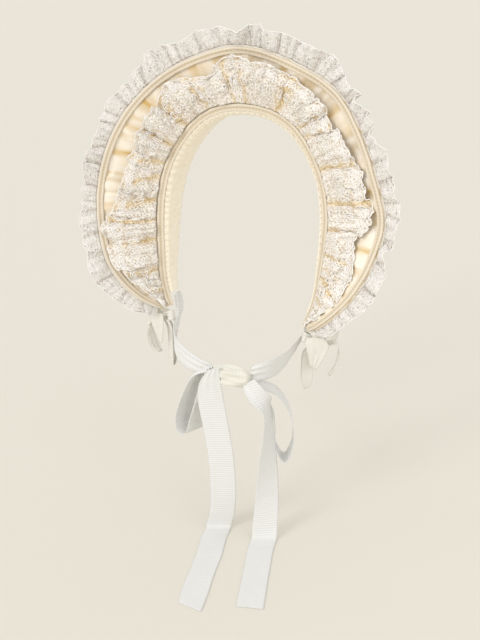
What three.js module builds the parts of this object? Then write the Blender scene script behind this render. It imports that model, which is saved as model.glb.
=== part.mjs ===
import * as THREE from 'three';

// Half bonnet of padded cloth with lace frills and ribbon ties, worn upright.
// Millimetres. Z is up, the face opening looks along -Y and the wearer's left is +X.
// The origin is the top centre of the crown band's inner face, where the band sits on the head.

// Driving dimensions
const BRIM_WALL = 3;
const BRIM_PLEATS = 20;
const PLEAT_DEPTH = 1.1;
const BRIM_FULL_WIDTH = 70;
const BRIM_CUP = 0.05;
const GAP = 0.35;
const SEAM_SETBACK = 20;
const SEAM_LEAN = 0.1;

const BAND_WALL = 1.6;
const BAND_BULGE = 4.5;
const BAND_DEPTH_TOP = 46;
const BAND_DEPTH_CORNER = 14;
const BAND_FRONT = 1;
const BAND_CLEAR = 1.4;
const BAND_MARGIN = 0.035;

const PIPING_WIDTH = 8.4;
const PIPING_SHARE = 0.34;
const PIPING_HEIGHT = 2.6;
const SEAM_PIPING_MARGIN = 0.8;
const RIM_PIPING_MARGIN = 0.3;
const PIPING_CLEAR = 1;

const OUTER_FRILL_WALL = 1.2;
const OUTER_FLUTES = 27;
const OUTER_FLUTE_DEPTH = 4.6;
const OUTER_FRILL_LEAN = 0.18;
const FRILL_UNEVEN = 0.06;
const FRILL_UNEVEN_WAVES = 5.3;
const FRILL_ROOT = 0.4;

const INNER_FRILL_WIDTH = 56;
const INNER_FRILL_COVER = 0.86;
const INNER_FRILL_WALL = 1.2;
const INNER_FOLDS = 17;
const INNER_FOLD_DEPTH = 4.2;
const INNER_EDGE_WANDER = 5;

const RIBBON_WALL = 1;
const TABLE_DROP = 452;
const LYING = RIBBON_WALL / 2 - TABLE_DROP;

const SEAM_RISE = BAND_BULGE + BAND_WALL / 2;

// Half of the brim from the top centre to the corner.
// The seam is its inner edge and the rim its outer edge. Forward is how far the rim flares ahead,
// and frill is how wide the lace past the rim is there.
const BRIM_ROWS = [
  { seamX: 0, seamZ: 0, rimX: 0, rimZ: 70, forward: 20, frill: 21 },
  { seamX: 29, seamZ: -4, rimX: 58, rimZ: 56, forward: 16, frill: 21 },
  { seamX: 53, seamZ: -17, rimX: 107, rimZ: 29, forward: 12, frill: 20 },
  { seamX: 74, seamZ: -40, rimX: 140, rimZ: -8, forward: 23, frill: 18 },
  { seamX: 89, seamZ: -69, rimX: 161, rimZ: -51, forward: 27, frill: 17 },
  { seamX: 95.5, seamZ: -101, rimX: 173, rimZ: -98, forward: 23, frill: 15 },
  { seamX: 96.5, seamZ: -130, rimX: 166, rimZ: -140, forward: 30, frill: 17 },
  { seamX: 95.5, seamZ: -159, rimX: 150, rimZ: -174, forward: 37, frill: 19 },
  { seamX: 94, seamZ: -185, rimX: 130, rimZ: -198, forward: 36, frill: 18 },
  { seamX: 90, seamZ: -205, rimX: 110, rimZ: -216, forward: 27, frill: 12 },
  { seamX: 82, seamZ: -224, rimX: 94, rimZ: -227, forward: 11, frill: 6 },
];

// Ribbon tables: x, y and z place the middle of the ribbon, width is its width,
// turn is the compass direction of its width in degrees from +X, and tip raises that direction.
const LEFT_TIE_ROWS = [
  { x: 83, y: -31, z: -213, width: 14, turn: 86, tip: 0 },
  { x: 81, y: -29.5, z: -226, width: 18, turn: 85, tip: 4 },
  { x: 76.5, y: -39, z: -243, width: 26, turn: 78, tip: 40 },
  { x: 74, y: -58, z: -252, width: 28, turn: 62, tip: 60 },
  { x: 72, y: -80, z: -257, width: 28, turn: 42, tip: 66 },
  { x: 66, y: -97, z: -259, width: 28, turn: 26, tip: 66 },
  { x: 57.5, y: -107, z: -260.5, width: 25, turn: 14, tip: 64 },
  { x: 49.5, y: -111.5, z: -261.5, width: 19, turn: 6, tip: 65 },
];

const RIGHT_TIE_ROWS = [
  { x: -83, y: -31, z: -213, width: 14, turn: -86, tip: 0 },
  { x: -81, y: -29.5, z: -226, width: 18, turn: -85, tip: -4 },
  { x: -76.5, y: -39, z: -243, width: 26, turn: -78, tip: -40 },
  { x: -72, y: -60, z: -253, width: 28, turn: -60, tip: -62 },
  { x: -56, y: -84, z: -259, width: 28, turn: -40, tip: -68 },
  { x: -34, y: -101, z: -263, width: 26, turn: -24, tip: -70 },
  { x: -12, y: -109, z: -266, width: 20, turn: -14, tip: -72 },
  { x: 4.2, y: -111, z: -267, width: 14, turn: -8, tip: -75 },
];

const LEFT_TAIL_ROWS = [
  { x: 51, y: -119, z: -269, width: 13, turn: 24, tip: 30 },
  { x: 57, y: -120, z: -277, width: 20, turn: 30, tip: 8 },
  { x: 64, y: -118.5, z: -286, width: 25, turn: 54, tip: 4 },
  { x: 70, y: -115, z: -299, width: 28, turn: 98, tip: 0 },
  { x: 71.5, y: -113, z: -326, width: 28, turn: 91, tip: 0 },
  { x: 71, y: -113, z: -362, width: 28, turn: 70, tip: 0 },
  { x: 71, y: -114, z: -404, width: 28, turn: 48, tip: 0 },
  { x: 71.5, y: -119, z: -434, width: 28, turn: 36, tip: 0 },
  { x: 72, y: -122, z: -447, width: 28, turn: 30, tip: 0 },
  { x: 72.4, y: -124.5, z: -450.3, width: 28, turn: 28, tip: 0 },
  { x: 74.5, y: -134, z: LYING, width: 28, turn: 23, tip: 0 },
  { x: 78, y: -146, z: LYING, width: 28, turn: 16, tip: 0 },
  { x: 90, y: -180, z: LYING, width: 28, turn: 8, tip: 0 },
  { x: 102, y: -214, z: LYING, width: 28, turn: 8, tip: 0 },
  { x: 114, y: -248, z: LYING, width: 28, turn: 16, tip: 0 },
];

const RIGHT_TAIL_ROWS = [
  { x: 13, y: -128.5, z: -257, width: 13, turn: 20, tip: 24 },
  { x: 9.5, y: -129.5, z: -271, width: 22, turn: 26, tip: 16 },
  { x: 10.5, y: -129, z: -293, width: 28, turn: 26, tip: 4 },
  { x: 17, y: -128.5, z: -328, width: 28, turn: 26, tip: 0 },
  { x: 22, y: -128, z: -360, width: 28, turn: 25, tip: 0 },
  { x: 24, y: -127, z: -397, width: 28, turn: 24, tip: 0 },
  { x: 21, y: -123.5, z: -428, width: 28, turn: 25, tip: 0 },
  { x: 16, y: -121.5, z: -446, width: 28, turn: 26, tip: 0 },
  { x: 15.8, y: -123.5, z: -450.3, width: 28, turn: 26, tip: 0 },
  { x: 17.5, y: -132, z: LYING, width: 28, turn: 25, tip: 0 },
  { x: 21, y: -146, z: LYING, width: 28, turn: 24, tip: 0 },
  { x: 32, y: -178, z: LYING, width: 28, turn: 25, tip: 0 },
  { x: 44, y: -221, z: LYING, width: 28, turn: 26, tip: 0 },
  { x: 60, y: -273, z: LYING, width: 28, turn: -8, tip: 0 },
];

const LEFT_LOOP_ROWS = [
  { x: 45, y: -106, z: -272, width: 11, turn: 100, tip: 0 },
  { x: 55, y: -98, z: -279, width: 21, turn: 106, tip: 0 },
  { x: 70, y: -86, z: -290, width: 27, turn: 114, tip: 0 },
  { x: 83, y: -80, z: -314, width: 28, turn: 116, tip: 0 },
  { x: 86, y: -79, z: -346, width: 28, turn: 116, tip: 0 },
  { x: 77, y: -80, z: -369, width: 28, turn: 116, tip: 0 },
  { x: 67, y: -83, z: -354, width: 28, turn: 116, tip: 0 },
  { x: 65.5, y: -85, z: -321, width: 28, turn: 116, tip: 0 },
  { x: 56, y: -92, z: -297, width: 22, turn: 110, tip: 0 },
  { x: 45, y: -105, z: -282, width: 11, turn: 100, tip: 0 },
];

const RIGHT_LOOP_ROWS = [
  { x: 7, y: -123, z: -260, width: 12, turn: 70, tip: 10 },
  { x: -5, y: -126, z: -266, width: 22, turn: 72, tip: 10 },
  { x: -16, y: -124, z: -288, width: 28, turn: 74, tip: 6 },
  { x: -26, y: -122, z: -316, width: 28, turn: 74, tip: 4 },
  { x: -26, y: -120, z: -335, width: 28, turn: 72, tip: 0 },
  { x: -17, y: -117, z: -339, width: 28, turn: 72, tip: 0 },
  { x: -11, y: -116, z: -318, width: 28, turn: 74, tip: 4 },
  { x: -4, y: -116, z: -293, width: 22, turn: 74, tip: 6 },
  { x: 6.5, y: -117, z: -279, width: 11, turn: 70, tip: 10 },
];

// Corner bow of the wearer's left side. The other side is its mirror image with the outer loop lower.
const BOW_KNOT = { x: 95, y: -42, z: -238, wide: 6, deep: 5, high: 7 };

const BOW_INNER_LOOP_ROWS = [
  { x: 88, y: -41.5, z: -235, width: 8, turn: 75, tip: 0 },
  { x: 84.6, y: -43, z: -233.6, width: 13, turn: 72, tip: 0 },
  { x: 81.8, y: -44, z: -237, width: 15, turn: 70, tip: 0 },
  { x: 81.8, y: -44, z: -241, width: 15, turn: 70, tip: 0 },
  { x: 84.6, y: -43, z: -243, width: 13, turn: 72, tip: 0 },
  { x: 88, y: -41, z: -240, width: 8, turn: 75, tip: 0 },
];

const BOW_OUTER_LOOP_ROWS = [
  { x: 102.2, y: -41, z: -234, width: 9, turn: 80, tip: 20 },
  { x: 110, y: -38, z: -229, width: 15, turn: 78, tip: 30 },
  { x: 120, y: -34, z: -227, width: 20, turn: 72, tip: 40 },
  { x: 125.5, y: -32, z: -231, width: 20, turn: 70, tip: 40 },
  { x: 121, y: -33, z: -236, width: 20, turn: 74, tip: 36 },
  { x: 111, y: -36, z: -237.5, width: 15, turn: 80, tip: 24 },
  { x: 102.2, y: -39, z: -239.5, width: 9, turn: 80, tip: 10 },
];

const BOW_HANGING_LOOP_ROWS = [
  { x: 92, y: -43.5, z: -246.4, width: 8, turn: 40, tip: 0 },
  { x: 87.5, y: -44, z: -256, width: 12, turn: 40, tip: 0 },
  { x: 86.5, y: -43.5, z: -275, width: 14, turn: 40, tip: 0 },
  { x: 86, y: -43, z: -291, width: 14, turn: 40, tip: 0 },
  { x: 84.8, y: -41, z: -298.5, width: 8, turn: 40, tip: 0 },
  { x: 83.6, y: -38.6, z: -291, width: 14, turn: 40, tip: 0 },
  { x: 83.6, y: -38.5, z: -272, width: 14, turn: 40, tip: 0 },
  { x: 84.8, y: -38.5, z: -256, width: 12, turn: 40, tip: 0 },
  { x: 90, y: -38, z: -246.4, width: 8, turn: 40, tip: 0 },
];

const BOW_FRONT_TAIL_ROWS = [
  { x: 95.5, y: -50.5, z: -234, width: 18, turn: 24, tip: 0 },
  { x: 97, y: -50.5, z: -242, width: 26, turn: 24, tip: -8 },
  { x: 97, y: -50, z: -253, width: 24, turn: 24, tip: -16 },
  { x: 96, y: -49.5, z: -263, width: 18, turn: 28, tip: -28 },
  { x: 95, y: -49, z: -270.5, width: 12, turn: 30, tip: -38 },
];

const BOW_THIN_TAIL_ROWS = [
  { x: 101.4, y: -36, z: -243.6, width: 8, turn: 100, tip: 0 },
  { x: 108, y: -33, z: -248.5, width: 13, turn: 106, tip: 0 },
  { x: 115, y: -31, z: -251, width: 16, turn: 110, tip: 0 },
  { x: 118.5, y: -30, z: -257, width: 17, turn: 108, tip: 0 },
  { x: 115, y: -30, z: -271, width: 13, turn: 106, tip: 0 },
  { x: 107.5, y: -31, z: -283, width: 5, turn: 106, tip: 0 },
];

const CHIN_KNOT = { x: 27.5, y: -117, z: -267, wide: 20, deep: 9, high: 10.5 };

const MATERIALS = {
  lining: { color: '#F6E7C2', roughness: 0.5 },
  band: { color: '#EADCBD', roughness: 0.7 },
  piping: { color: '#EBDCC0', roughness: 0.7 },
  lace: { color: '#F2EFEC', roughness: 0.9 },
  ribbon: { color: '#F3F2E9', roughness: 0.6 },
  satin: { color: '#EFEEDD', roughness: 0.4 },
};

function cloth(finish) {
  return new THREE.MeshStandardMaterial({ ...MATERIALS[finish], metalness: 0 });
}

// A closed solid from its points and faces, turned so that its faces point out.
function solid(points, faces) {
  const corner = (index) => points[index];
  let volume = 0;
  for (const [a, b, c] of faces) {
    volume += corner(a).dot(corner(b).clone().cross(corner(c)));
  }
  const turned = volume < 0 ? faces.map(([a, b, c]) => [a, c, b]) : faces;
  const geometry = new THREE.BufferGeometry().setFromPoints(points);
  geometry.setIndex(turned.flat());
  geometry.computeVertexNormals();
  return geometry;
}

// A wall of even thickness on both sides of the surface middle(u, v), with u and v from 0 to 1.
function wall(columns, rows, middle, thickness) {
  const step = 1e-3;
  const layers = [[], []];
  for (let i = 0; i <= columns; i += 1) {
    for (let j = 0; j <= rows; j += 1) {
      const u = i / columns;
      const v = j / rows;
      const here = middle(u, v);
      const uLow = Math.max(u - step, 0);
      const uHigh = Math.min(u + step, 1);
      const vLow = Math.max(v - step, 0);
      const vHigh = Math.min(v + step, 1);
      const along = middle(uHigh, v).sub(middle(uLow, v));
      const across = middle(u, vHigh).sub(middle(u, vLow));
      const normal = along.cross(across).normalize();
      layers[0].push(here.clone().addScaledVector(normal, thickness / 2));
      layers[1].push(here.clone().addScaledVector(normal, -thickness / 2));
    }
  }
  const count = layers[0].length;
  const at = (i, j) => i * (rows + 1) + j;
  const faces = [];
  const quad = (a, b, c, d) => faces.push([a, b, c], [a, c, d]);
  for (let i = 0; i < columns; i += 1) {
    for (let j = 0; j < rows; j += 1) {
      const ring = [at(i, j), at(i + 1, j), at(i + 1, j + 1), at(i, j + 1)];
      quad(...ring);
      quad(...ring.reverse().map((index) => index + count));
    }
    quad(at(i + 1, 0), at(i, 0), at(i, 0) + count, at(i + 1, 0) + count);
    quad(at(i, rows), at(i + 1, rows), at(i + 1, rows) + count, at(i, rows) + count);
  }
  for (let j = 0; j < rows; j += 1) {
    quad(at(0, j), at(0, j + 1), at(0, j + 1) + count, at(0, j) + count);
    quad(at(columns, j + 1), at(columns, j), at(columns, j) + count, at(columns, j + 1) + count);
  }
  return solid([...layers[0], ...layers[1]], faces);
}

// A closed bar: the section's points, in across and lift, carried along frameAt(u).
function bar(section, steps, frameAt) {
  const points = [];
  const sides = section.length;
  for (let k = 0; k <= steps; k += 1) {
    const { origin, across, lift } = frameAt(k / steps);
    for (const [a, b] of section) {
      points.push(origin.clone().addScaledVector(across, a).addScaledVector(lift, b));
    }
  }
  const faces = [];
  for (let k = 0; k < steps; k += 1) {
    for (let j = 0; j < sides; j += 1) {
      const next = (j + 1) % sides;
      const low = k * sides;
      const high = low + sides;
      faces.push([low + j, low + next, high + next], [low + j, high + next, high + j]);
    }
  }
  for (const [end, flip] of [[0, true], [steps, false]]) {
    const centre = points.length;
    points.push(frameAt(end / steps).origin);
    for (let j = 0; j < sides; j += 1) {
      const a = end * sides + j;
      const b = end * sides + ((j + 1) % sides);
      faces.push(flip ? [centre, b, a] : [centre, a, b]);
    }
  }
  return solid(points, faces);
}

// Seam and rim as smooth curves from the wearer's right corner over the top to the left corner.
function bothSides(pointOf) {
  const left = BRIM_ROWS.map((row) => pointOf(row, 1));
  const right = BRIM_ROWS.slice(1).reverse().map((row) => pointOf(row, -1));
  return new THREE.CatmullRomCurve3([...right, ...left], false, 'catmullrom', 0.5);
}

const seamY = (z) => SEAM_LEAN * z - SEAM_SETBACK;
const seam = bothSides((row, side) => new THREE.Vector3(side * row.seamX, seamY(row.seamZ), row.seamZ));
const rim = bothSides((row, side) => {
  return new THREE.Vector3(side * row.rimX, seamY(row.rimZ) - row.forward, row.rimZ);
});

const frillWidth = bothSides((row) => new THREE.Vector3(row.frill, 0, 0));

// Pleats run from seam to rim, die out at both and are shallower where the brim is narrow.
function pleat(t, s, width) {
  const depth = PLEAT_DEPTH * Math.min(1, width / BRIM_FULL_WIDTH);
  return depth * Math.sin(Math.PI * s) * Math.cos(2 * Math.PI * BRIM_PLEATS * t);
}

// A point of the brim's middle surface and its directions; s goes from seam 0 to rim 1.
function brimFrame(t, s) {
  const low = seam.getPoint(t);
  const high = rim.getPoint(t);
  const reach = high.clone().sub(low);
  const width = reach.length();
  const out = reach.clone().normalize();
  const along = seam.getTangent(t).lerp(rim.getTangent(t), s).normalize();
  const front = along.clone().cross(out).normalize();
  const cup = -BRIM_CUP * width * Math.sin(Math.PI * s);
  const point = low.addScaledVector(reach, s).addScaledVector(front, cup);
  return { point, out, along, front, width };
}

function brim() {
  const middle = (u, v) => {
    const { point, front, width } = brimFrame(u, v);
    return point.addScaledVector(front, pleat(u, v, width));
  };
  return wall(BRIM_PLEATS * 4, 4, middle, BRIM_WALL);
}

// The band starts level with the brim's front inside the seam and runs back over the head.
function crownBand() {
  const profile = new THREE.CatmullRomCurve3([
    new THREE.Vector3(0, BAND_CLEAR + BAND_WALL / 2, 0),
    new THREE.Vector3(0.12, BAND_BULGE, 0),
    new THREE.Vector3(0.6, BAND_BULGE, 0),
    new THREE.Vector3(1, BAND_BULGE / 2, 0),
  ]);
  const back = new THREE.Vector3(0, 1, 0);
  const middle = (u, v) => {
    const t = BAND_MARGIN + u * (1 - 2 * BAND_MARGIN);
    const depth = BAND_DEPTH_CORNER + (BAND_DEPTH_TOP - BAND_DEPTH_CORNER) * Math.sin(Math.PI * t);
    const tangent = seam.getTangent(t);
    const inward = tangent.clone().cross(back).normalize().negate();
    const { x: run, y: offset } = profile.getPoint(v);
    const start = seam.getPoint(t).addScaledVector(back, run * depth - BAND_FRONT);
    return start.addScaledVector(inward, offset);
  };
  return wall(44, 3, middle, BAND_WALL);
}

// The piping is narrower toward the corners, where two of them share a narrow brim.
function pipingWidth(brimWidth) {
  return Math.min(PIPING_WIDTH, PIPING_SHARE * brimWidth);
}

// Two cords side by side, covered as one band. Its margin is left free at the seam or the rim.
function piping(steps, atRim, margin) {
  const top = PIPING_HEIGHT / 2;
  const section = [
    [1, 0], [0.55, top], [0, top * 0.35], [-0.55, top],
    [-1, 0], [-0.55, -top], [0.55, -top],
  ];
  const lift = BRIM_WALL / 2 + PIPING_CLEAR + PIPING_HEIGHT / 2;
  return bar(section, steps, (u) => {
    const { width } = brimFrame(u, 0);
    const half = pipingWidth(width) / 2;
    const inset = (half + margin) / width;
    const { point, out, front } = brimFrame(u, atRim ? 1 - inset : inset);
    return {
      origin: point.addScaledVector(front, lift),
      across: out.multiplyScalar(half),
      lift: front,
    };
  });
}

// Gathered lace standing out past the rim in even flutes.
function outerFrill() {
  const middle = (u, v) => {
    const t = rim.getUtoTmapping(u);
    const { point, front } = brimFrame(t, 1);
    const out = front.clone().cross(rim.getTangent(t)).normalize();
    const wave = Math.sin(2 * Math.PI * OUTER_FLUTES * u);
    const uneven = 1 + FRILL_UNEVEN * Math.cos(2 * Math.PI * FRILL_UNEVEN_WAVES * u);
    const reach = GAP + FRILL_ROOT + frillWidth.getPoint(t).x * v * uneven;
    const swing = OUTER_FLUTE_DEPTH * wave * (0.12 + 0.88 * v) - OUTER_FRILL_LEAN * reach;
    return point.addScaledVector(out, reach).addScaledVector(front, swing);
  };
  return wall(OUTER_FLUTES * 6, 2, middle, OUTER_FRILL_WALL);
}

// Wide lace gathered at the seam and lying over the brim in irregular folds.
function innerFrill() {
  const clear = BRIM_WALL / 2 + GAP + INNER_FRILL_WALL + PLEAT_DEPTH;
  const middle = (u, v) => {
    const t = seam.getUtoTmapping(u);
    const { width } = brimFrame(t, 0);
    const start = (pipingWidth(width) + SEAM_PIPING_MARGIN + GAP + FRILL_ROOT) / width;
    const wander = INNER_EDGE_WANDER * Math.sin(2 * Math.PI * 6.5 * u + 0.8);
    const free = width - RIM_PIPING_MARGIN - pipingWidth(width) - GAP - INNER_FRILL_WALL;
    const cover = Math.min(INNER_FRILL_WIDTH + wander, INNER_FRILL_COVER * width, free) / width;
    const { point, front } = brimFrame(t, start + v * (cover - start));
    const phase = INNER_FOLDS * u + 0.12 * Math.sin(2 * Math.PI * 4 * u);
    const fold = 1 + Math.sin(2 * Math.PI * phase);
    const taper = Math.min(1, width / 50);
    const stand = clear + INNER_FOLD_DEPTH * fold * taper * (0.25 + 0.75 * v);
    return point.addScaledVector(front, stand);
  };
  return wall(INNER_FOLDS * 6, 3, middle, INNER_FRILL_WALL);
}

// A flat ribbon along a table's rows.
function ribbon(rows, steps) {
  const centres = rows.map((row) => new THREE.Vector3(row.x, row.y, row.z));
  const poses = rows.map((row) => new THREE.Vector3(row.width, row.turn, row.tip));
  const path = new THREE.CatmullRomCurve3(centres, false, 'catmullrom', 0.5);
  const posePath = new THREE.CatmullRomCurve3(poses, false, 'catmullrom', 0.5);
  const middle = (u, v) => {
    const { x: width, y: turn, z: tip } = posePath.getPoint(u);
    const compass = THREE.MathUtils.degToRad(turn);
    const raise = THREE.MathUtils.degToRad(tip);
    const flat = Math.cos(raise);
    const across = new THREE.Vector3(
      Math.cos(compass) * flat,
      Math.sin(compass) * flat,
      Math.sin(raise),
    );
    return path.getPoint(u).addScaledVector(across, (v - 0.5) * width);
  };
  return wall(steps, 1, middle, RIBBON_WALL);
}

// A ribbon wound tight on itself: a rounded lump with a slight waist.
function knot({ wide, deep, high }) {
  const profile = [];
  const rings = 7;
  for (let i = 0; i <= rings; i += 1) {
    const angle = Math.PI * (i / rings);
    const waist = 1 - 0.1 * Math.cos(2 * angle + Math.PI);
    profile.push(new THREE.Vector2(Math.sin(angle) * waist, -Math.cos(angle)));
  }
  profile[0].x = 0;
  profile[rings].x = 0;
  const geometry = new THREE.LatheGeometry(profile, 12);
  geometry.rotateZ(Math.PI / 2);
  geometry.scale(wide, deep, high);
  return geometry;
}

function mirrored(rows) {
  return rows.map((row) => ({ ...row, x: -row.x, turn: -row.turn, tip: -row.tip }));
}

// The loop hangs lower the further it is from the knot.
function drooped(rows, fall) {
  const root = Math.abs(rows[0].x);
  return rows.map((row) => ({ ...row, z: row.z - fall * Math.max(0, Math.abs(row.x) - root) }));
}

const bonnet = new THREE.Group();
bonnet.position.z = SEAM_RISE;

function add(name, geometry, finish, place) {
  const mesh = new THREE.Mesh(geometry, cloth(finish));
  mesh.name = name;
  if (place) {
    mesh.position.set(place.x, place.y, place.z);
  }
  bonnet.add(mesh);
}

add('brim', brim(), 'lining');
add('crown_band', crownBand(), 'band');
add('outer_piping', piping(52, true, RIM_PIPING_MARGIN), 'piping');
add('inner_piping', piping(44, false, SEAM_PIPING_MARGIN), 'piping');
add('outer_frill', outerFrill(), 'lace');
add('inner_frill', innerFrill(), 'lace');

add('left_tie', ribbon(LEFT_TIE_ROWS, 20), 'ribbon');
add('right_tie', ribbon(RIGHT_TIE_ROWS, 20), 'ribbon');
add('chin_knot', knot(CHIN_KNOT), 'ribbon', CHIN_KNOT);
add('left_chin_loop', ribbon(LEFT_LOOP_ROWS, 27), 'ribbon');
add('right_chin_loop', ribbon(RIGHT_LOOP_ROWS, 24), 'ribbon');
add('left_tail', ribbon(LEFT_TAIL_ROWS, 42), 'ribbon');
add('right_tail', ribbon(RIGHT_TAIL_ROWS, 39), 'ribbon');

const RIGHT_LOOP_FALL = 1.1;
for (const [side, flip] of [['left', false], ['right', true]]) {
  const turned = (rows) => (flip ? mirrored(rows) : rows);
  const hung = (rows) => (flip ? drooped(rows, RIGHT_LOOP_FALL) : rows);
  const place = flip ? { ...BOW_KNOT, x: -BOW_KNOT.x } : BOW_KNOT;
  add(`${side}_bow_knot`, knot(BOW_KNOT), 'satin', place);
  add(`${side}_bow_inner_loop`, ribbon(turned(BOW_INNER_LOOP_ROWS), 12), 'satin');
  add(`${side}_bow_outer_loop`, ribbon(hung(turned(BOW_OUTER_LOOP_ROWS)), 14), 'satin');
  add(`${side}_bow_hanging_loop`, ribbon(turned(BOW_HANGING_LOOP_ROWS), 18), 'satin');
  add(`${side}_bow_front_tail`, ribbon(turned(BOW_FRONT_TAIL_ROWS), 10), 'satin');
  add(`${side}_bow_thin_tail`, ribbon(hung(turned(BOW_THIN_TAIL_ROWS)), 12), 'satin');
}

export default bonnet;
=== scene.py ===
import bisect
import math
import random

import bmesh
import bpy
from mathutils import Matrix, Vector


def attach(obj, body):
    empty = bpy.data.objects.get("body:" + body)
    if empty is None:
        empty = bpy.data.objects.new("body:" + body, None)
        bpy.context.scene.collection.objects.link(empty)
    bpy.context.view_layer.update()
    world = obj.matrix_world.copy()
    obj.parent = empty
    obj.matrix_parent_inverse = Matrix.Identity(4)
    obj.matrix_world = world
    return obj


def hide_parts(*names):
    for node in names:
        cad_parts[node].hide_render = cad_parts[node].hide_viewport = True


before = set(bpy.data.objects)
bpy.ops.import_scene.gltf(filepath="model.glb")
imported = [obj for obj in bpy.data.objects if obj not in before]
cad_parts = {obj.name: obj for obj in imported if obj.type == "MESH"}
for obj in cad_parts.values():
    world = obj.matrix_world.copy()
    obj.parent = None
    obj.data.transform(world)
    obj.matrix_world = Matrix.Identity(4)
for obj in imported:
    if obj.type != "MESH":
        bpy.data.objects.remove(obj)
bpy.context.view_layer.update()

# Sizes are millimetres, measured from the top of the seam, which is SEAM_RISE above the origin.
MM = 0.001
SEAM_RISE = 5.3
TURN = 2 * math.pi
TABLE_Z = -0.4467

# The brim, from the top centre to a corner: the seam's x and z, the rim's x and z, how far the rim
# flares forward of the seam's slope, and how wide the lace past the rim is.
BRIM_ROWS = [
    (0, 0, 0, 70, 20, 21),
    (29, -4, 58, 56, 16, 21),
    (53, -17, 107, 29, 12, 20),
    (74, -40, 140, -8, 23, 18),
    (89, -69, 161, -51, 27, 17),
    (95.5, -101, 173, -98, 23, 15),
    (96.5, -130, 166, -140, 30, 17),
    (95.5, -159, 150, -174, 37, 19),
    (94, -185, 130, -198, 36, 18),
    (90, -205, 110, -216, 27, 12),
    (82, -224, 94, -227, 11, 6),
]
SEAM_SETBACK = 20
SEAM_LEAN = 0.1
BRIM_CUP = 0.05
BRIM_HALF = 1.9
PIPING_WIDTH = 8.4
PIPING_SHARE = 0.34
PIPING_UNDERSIDE = 2.7
SEAM_PIPING_MARGIN = 0.8
RIM_PIPING_MARGIN = 0.3
# Where the brim is narrower than this, its puckers and the folds over it shrink with it.
WIDE_BRIM = 60

# Ribbons, row by row: x, y, z of the middle, the width, and in degrees how far the width is turned
# from +X round the vertical and how far it is tipped up.
LYING = -451.5
RIBBON_WIDTH = 28
LEFT_TIE = [
    (83, -31, -213, 14, 86, 0), (81, -29.5, -226, 18, 85, 4), (76.5, -39, -243, 26, 78, 40),
    (74, -58, -252, 28, 62, 60), (72, -80, -257, 28, 42, 66), (66, -97, -259, 28, 26, 66),
    (57.5, -107, -260.5, 26, 14, 64), (48, -112, -262, 20, 6, 65),
]
RIGHT_TIE = [
    (-83, -31, -213, 14, -86, 0), (-81, -29.5, -226, 18, -85, -4), (-76.5, -39, -243, 26, -78, -40),
    (-72, -60, -253, 28, -60, -62), (-56, -84, -259, 28, -40, -68), (-34, -101, -263, 26, -24, -70),
    (-12, -109, -266, 20, -14, -72), (4.2, -111, -267, 14, -8, -75),
]
LEFT_TAIL = [
    (51, -119, -269, 13, 24, 30), (57, -120, -277, 20, 30, 8), (64, -118.5, -286, 25, 54, 4),
    (70, -115, -299, 28, 98, 0), (71.5, -113, -326, 28, 91, 0), (71, -113, -362, 28, 70, 0),
    (71, -114, -404, 28, 48, 0), (71.5, -119, -434, 28, 36, 0), (72, -122, -447, 28, 30, 0),
    (72.4, -124.5, -450.3, 28, 28, 0), (74.5, -134, LYING, 28, 23, 0), (78, -146, LYING, 28, 16, 0),
    (90, -180, LYING, 28, 8, 0), (102, -214, LYING, 28, 8, 0), (114, -248, LYING, 28, 16, 0),
]
RIGHT_TAIL = [
    (13, -128.5, -257, 14, 20, 24), (9.5, -129.5, -271, 23, 26, 16), (10.5, -129, -293, 28, 26, 4),
    (17, -128.5, -328, 28, 26, 0), (22, -128, -360, 28, 25, 0), (24, -127, -397, 28, 24, 0),
    (21, -123.5, -428, 28, 25, 0), (16, -121.5, -446, 28, 26, 0), (15.8, -123.5, -450.3, 28, 26, 0),
    (17.5, -132, LYING, 28, 25, 0), (21, -146, LYING, 28, 24, 0), (32, -178, LYING, 28, 25, 0),
    (44, -221, LYING, 28, 26, 0), (60, -273, LYING, 28, -8, 0),
]
LEFT_CHIN_LOOP = [
    (45, -106, -272, 11, 100, 0), (55, -98, -279, 21, 106, 0), (70, -86, -290, 27, 114, 0),
    (83, -80, -314, 28, 116, 0), (86, -79, -346, 28, 116, 0), (77, -80, -369, 28, 116, 0),
    (67, -83, -354, 28, 116, 0), (65.5, -85, -321, 28, 116, 0), (56, -92, -297, 22, 110, 0),
    (45, -105, -282, 11, 100, 0),
]
RIGHT_CHIN_LOOP = [
    (7, -123, -260, 12, 70, 10), (-5, -126, -265, 22, 72, 10), (-16, -124, -288, 28, 74, 6),
    (-26, -122, -316, 28, 74, 4), (-26, -120, -335, 28, 72, 0), (-17, -117, -339, 28, 72, 0),
    (-11, -116, -318, 28, 74, 4), (-4, -116, -293, 22, 74, 6), (6.5, -117, -279, 11, 70, 10),
]
CHIN_KNOT = dict(centre=(28.5, -117, -267), wide=22, deep=9, high=10.5)

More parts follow.
